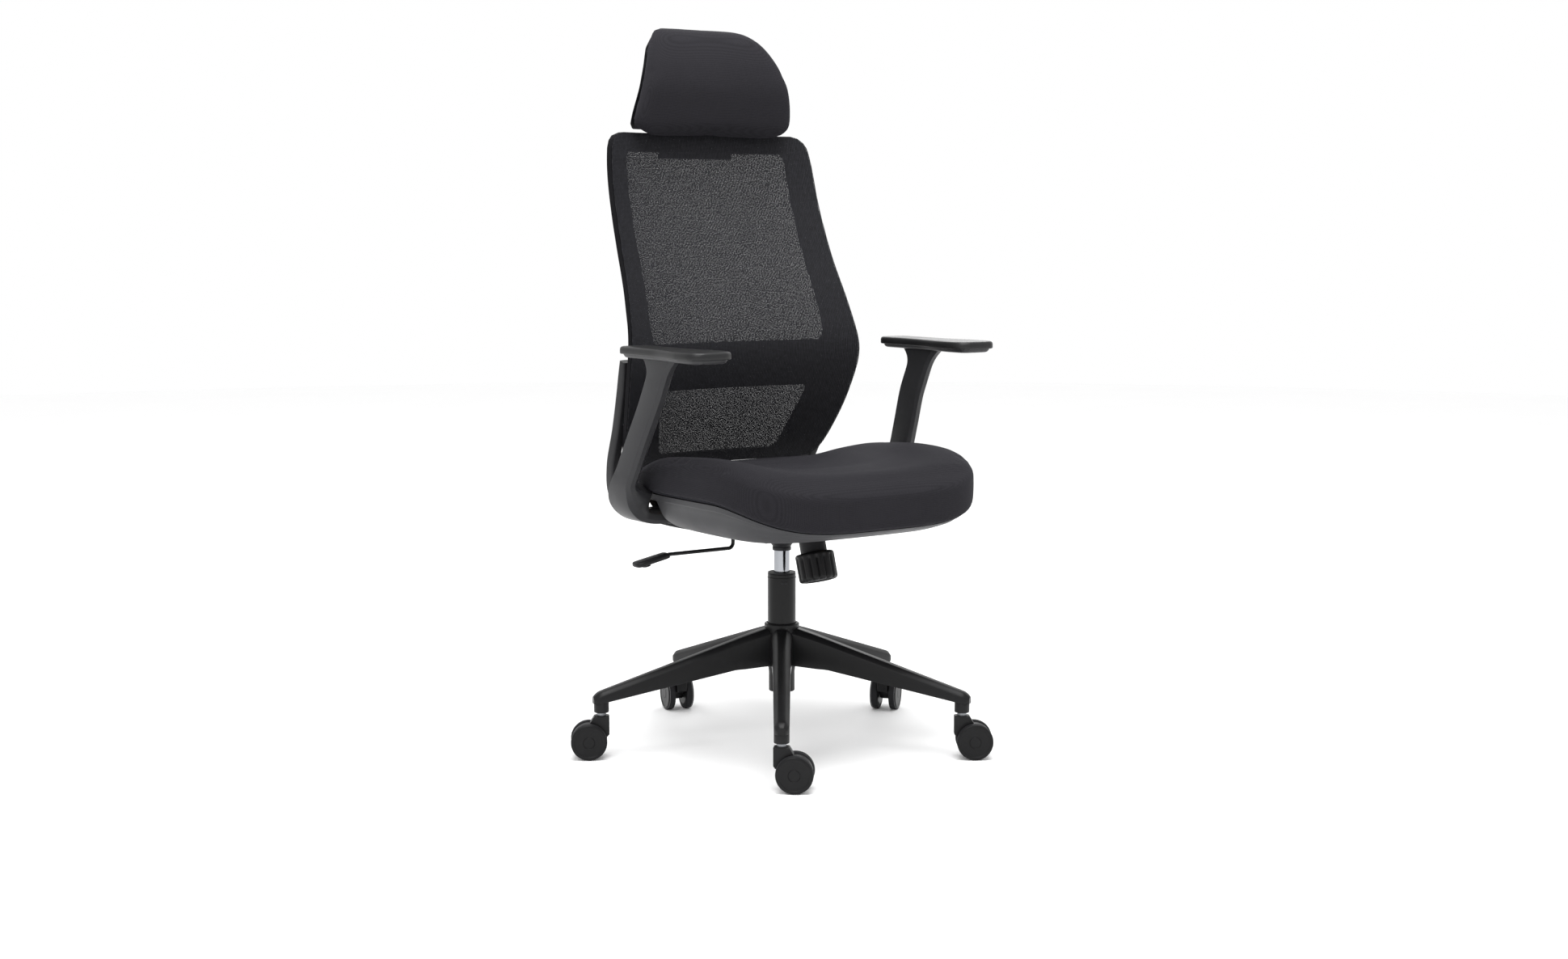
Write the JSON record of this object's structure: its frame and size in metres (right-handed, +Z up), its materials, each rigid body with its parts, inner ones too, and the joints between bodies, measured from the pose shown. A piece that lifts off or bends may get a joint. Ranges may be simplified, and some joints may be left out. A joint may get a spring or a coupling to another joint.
{
  "type": "swivel office chair",
  "caption": "High-back mesh office chair with contoured seat, fixed arms, adjustable headrest, gas lift, tilt mechanism and a five-star base on twin-wheel casters.",
  "frame": {"origin": "point on the floor directly below the gas column's axis", "axes": "+Z up along the gas column, -Y towards the front edge of the seat, +X towards the sitter's left side"},
  "size_m": [0.7392, 0.7072, 1.27],
  "materials": {
    "nylon": "fine grained moulded nylon",
    "shell": "fine matte moulded plastic",
    "charcoal_plastic": "fine matte moulded plastic",
    "pad": "soft-touch polyurethane",
    "wheel": "smooth tread",
    "rubber": "matte rubber",
    "steel": "zinc plated",
    "chrome": "polished chrome plate",
    "black_steel": "satin black powder coat",
    "seat_fabric": "plain woven polyester",
    "mesh_fabric": "open polyester mesh",
    "board": "raw plywood"
  },
  "bodies": {
    "root": {"base_star": "nylon", "column_tube": "black_steel", "guide_bush": "charcoal_plastic", "thrust_bearing": "steel", "caster_stems": "steel"},
    "swivel": {"piston_rod": "steel", "stop_bumper": "rubber", "retaining_clip": "steel"},
    "riser": {"gas_cylinder": "chrome", "column_collar": "rubber", "tilt_housing": "black_steel", "tilt_axle": "steel", "spring_cup": "nylon", "tension_spring": "steel"},
    "valve": {"valve_button": "steel"},
    "cradle": {"lever_cradle": "steel"},
    "lever": {"lever_rod": "black_steel", "lever_paddle": "charcoal_plastic"},
    "knob": {"tension_knob": "nylon", "tension_screw": "steel"},
    "nut": {"spring_nut": "steel"},
    "seat": {"top_plate": "black_steel", "seat_board": "board", "seat_pan": "shell", "seat_cushion": "seat_fabric", "seat_bolts": "steel", "arm_left": "charcoal_plastic", "arm_right": "charcoal_plastic", "arm_pad_left": "pad", "arm_pad_right": "pad", "back_yoke": "charcoal_plastic", "back_frame": "charcoal_plastic", "back_mesh": "mesh_fabric", "back_screws": "steel", "headrest_bracket": "charcoal_plastic", "headrest_mast": "black_steel"},
    "headrest_slide": {"headrest_slider": "charcoal_plastic", "headrest_pin": "steel"},
    "headrest": {"headrest_shell": "charcoal_plastic", "headrest_pad": "seat_fabric"},
    "caster_1": {"caster_fork_1": "nylon", "caster_axle_1": "steel"},
    "wheel_1_left": {"wheel_1_left": "wheel"},
    "wheel_1_right": {"wheel_1_right": "wheel"},
    "caster_2": {"caster_fork_2": "nylon", "caster_axle_2": "steel"},
    "wheel_2_left": {"wheel_2_left": "wheel"},
    "wheel_2_right": {"wheel_2_right": "wheel"},
    "caster_3": {"caster_fork_3": "nylon", "caster_axle_3": "steel"},
    "wheel_3_left": {"wheel_3_left": "wheel"},
    "wheel_3_right": {"wheel_3_right": "wheel"},
    "caster_4": {"caster_fork_4": "nylon", "caster_axle_4": "steel"},
    "wheel_4_left": {"wheel_4_left": "wheel"},
    "wheel_4_right": {"wheel_4_right": "wheel"},
    "caster_5": {"caster_fork_5": "nylon", "caster_axle_5": "steel"},
    "wheel_5_left": {"wheel_5_left": "wheel"},
    "wheel_5_right": {"wheel_5_right": "wheel"}
  },
  "joints": [
    {"name": "seat_swivel", "type": "hinge", "parent": "root", "child": "swivel", "pos_m": [0, 0, 0.368], "axis": [0, 0, 1], "continuous": true},
    {"name": "seat_height", "type": "slide", "parent": "swivel", "child": "riser", "axis": [0, 0, 1], "range_m": [0, 0.1]},
    {"name": "seat_tilt", "type": "hinge", "parent": "riser", "child": "seat", "pos_m": [0, -0.06, 0.398], "axis": [-1, 0, 0], "range_deg": [0, 13], "stiffness_Nm_per_rad": 70, "springref_deg": -28.65},
    {"name": "lever_lift", "type": "hinge", "parent": "riser", "child": "cradle", "pos_m": [-0.04, -0.009, 0.39], "axis": [0, 1, 0], "range_deg": [0, 4], "stiffness_Nm_per_rad": 12, "springref_deg": -5.16},
    {"name": "lever_pull", "type": "slide", "parent": "cradle", "child": "lever", "axis": [-1, 0, 0], "range_m": [0, 0.01]},
    {"name": "valve_press", "type": "slide", "parent": "riser", "child": "valve", "axis": [0, 0, -1], "range_m": [0, 0.004]},
    {"name": "tension_turn", "type": "hinge", "parent": "riser", "child": "knob", "pos_m": [0, -0.097, 0.356], "axis": [0, 0.2924, 0.9563], "range_deg": [0, 1080]},
    {"name": "tension_nut", "type": "slide", "parent": "riser", "child": "nut", "axis": [0, 0.2924, 0.9563], "range_m": [0, 0.0062]},
    {"name": "headrest_height", "type": "slide", "parent": "seat", "child": "headrest_slide", "axis": [0, 0, 1], "range_m": [0, 0.045]},
    {"name": "headrest_tilt", "type": "hinge", "parent": "headrest_slide", "child": "headrest", "pos_m": [0, 0.259, 1.149], "axis": [-1, 0, 0], "range_deg": [0, 12]},
    {"name": "caster_1_swivel", "type": "hinge", "parent": "root", "child": "caster_1", "pos_m": [-0.19012, -0.26851, 0.0515], "axis": [0, 0, 1], "continuous": true},
    {"name": "wheel_1_left_spin", "type": "hinge", "parent": "caster_1", "child": "wheel_1_left", "pos_m": [-0.17309, -0.28244, 0.0315], "axis": [0.6334, 0.7738, 0], "continuous": true},
    {"name": "wheel_1_right_spin", "type": "hinge", "parent": "caster_1", "child": "wheel_1_right", "pos_m": [-0.17309, -0.28244, 0.0315], "axis": [0.6334, 0.7738, 0], "continuous": true},
    {"name": "caster_2_swivel", "type": "hinge", "parent": "root", "child": "caster_2", "pos_m": [0.19662, -0.26378, 0.0515], "axis": [0, 0, 1], "continuous": true},
    {"name": "wheel_2_left_spin", "type": "hinge", "parent": "caster_2", "child": "wheel_2_left", "pos_m": [0.21457, -0.2765, 0.0315], "axis": [0.5779, 0.8161, 0], "continuous": true},
    {"name": "wheel_2_right_spin", "type": "hinge", "parent": "caster_2", "child": "wheel_2_right", "pos_m": [0.21457, -0.2765, 0.0315], "axis": [0.5779, 0.8161, 0], "continuous": true},
    {"name": "caster_3_swivel", "type": "hinge", "parent": "root", "child": "caster_3", "pos_m": [0.31163, 0.10548, 0.0515], "axis": [0, 0, 1], "continuous": true},
    {"name": "wheel_3_left_spin", "type": "hinge", "parent": "caster_3", "child": "wheel_3_left", "pos_m": [0.32856, 0.11954, 0.0315], "axis": [-0.6388, 0.7694, 0], "continuous": true},
    {"name": "wheel_3_right_spin", "type": "hinge", "parent": "caster_3", "child": "wheel_3_right", "pos_m": [0.32856, 0.11954, 0.0315], "axis": [-0.6388, 0.7694, 0], "continuous": true},
    {"name": "caster_4_swivel", "type": "hinge", "parent": "root", "child": "caster_4", "pos_m": [-0.00402, 0.32898, 0.0515], "axis": [0, 0, 1], "continuous": true},
    {"name": "wheel_4_left_spin", "type": "hinge", "parent": "caster_4", "child": "wheel_4_left", "pos_m": [0.00179, 0.3502, 0.0315], "axis": [-0.9646, 0.2639, 0], "continuous": true},
    {"name": "wheel_4_right_spin", "type": "hinge", "parent": "caster_4", "child": "wheel_4_right", "pos_m": [0.00179, 0.3502, 0.0315], "axis": [-0.9646, 0.2639, 0], "continuous": true},
    {"name": "caster_5_swivel", "type": "hinge", "parent": "root", "child": "caster_5", "pos_m": [-0.31412, 0.09784, 0.0515], "axis": [0, 0, 1], "continuous": true},
    {"name": "wheel_5_left_spin", "type": "hinge", "parent": "caster_5", "child": "wheel_5_left", "pos_m": [-0.33311, 0.10894, 0.0315], "axis": [-0.5045, -0.8634, 0], "continuous": true},
    {"name": "wheel_5_right_spin", "type": "hinge", "parent": "caster_5", "child": "wheel_5_right", "pos_m": [-0.33311, 0.10894, 0.0315], "axis": [-0.5045, -0.8634, 0], "continuous": true}
  ],
  "couplings": [
    {"joint": "valve_press", "follows": "lever_lift", "m_per_rad": 0.04},
    {"joint": "tension_nut", "follows": "tension_turn", "m_per_rad": 0.0003183}
  ]
}
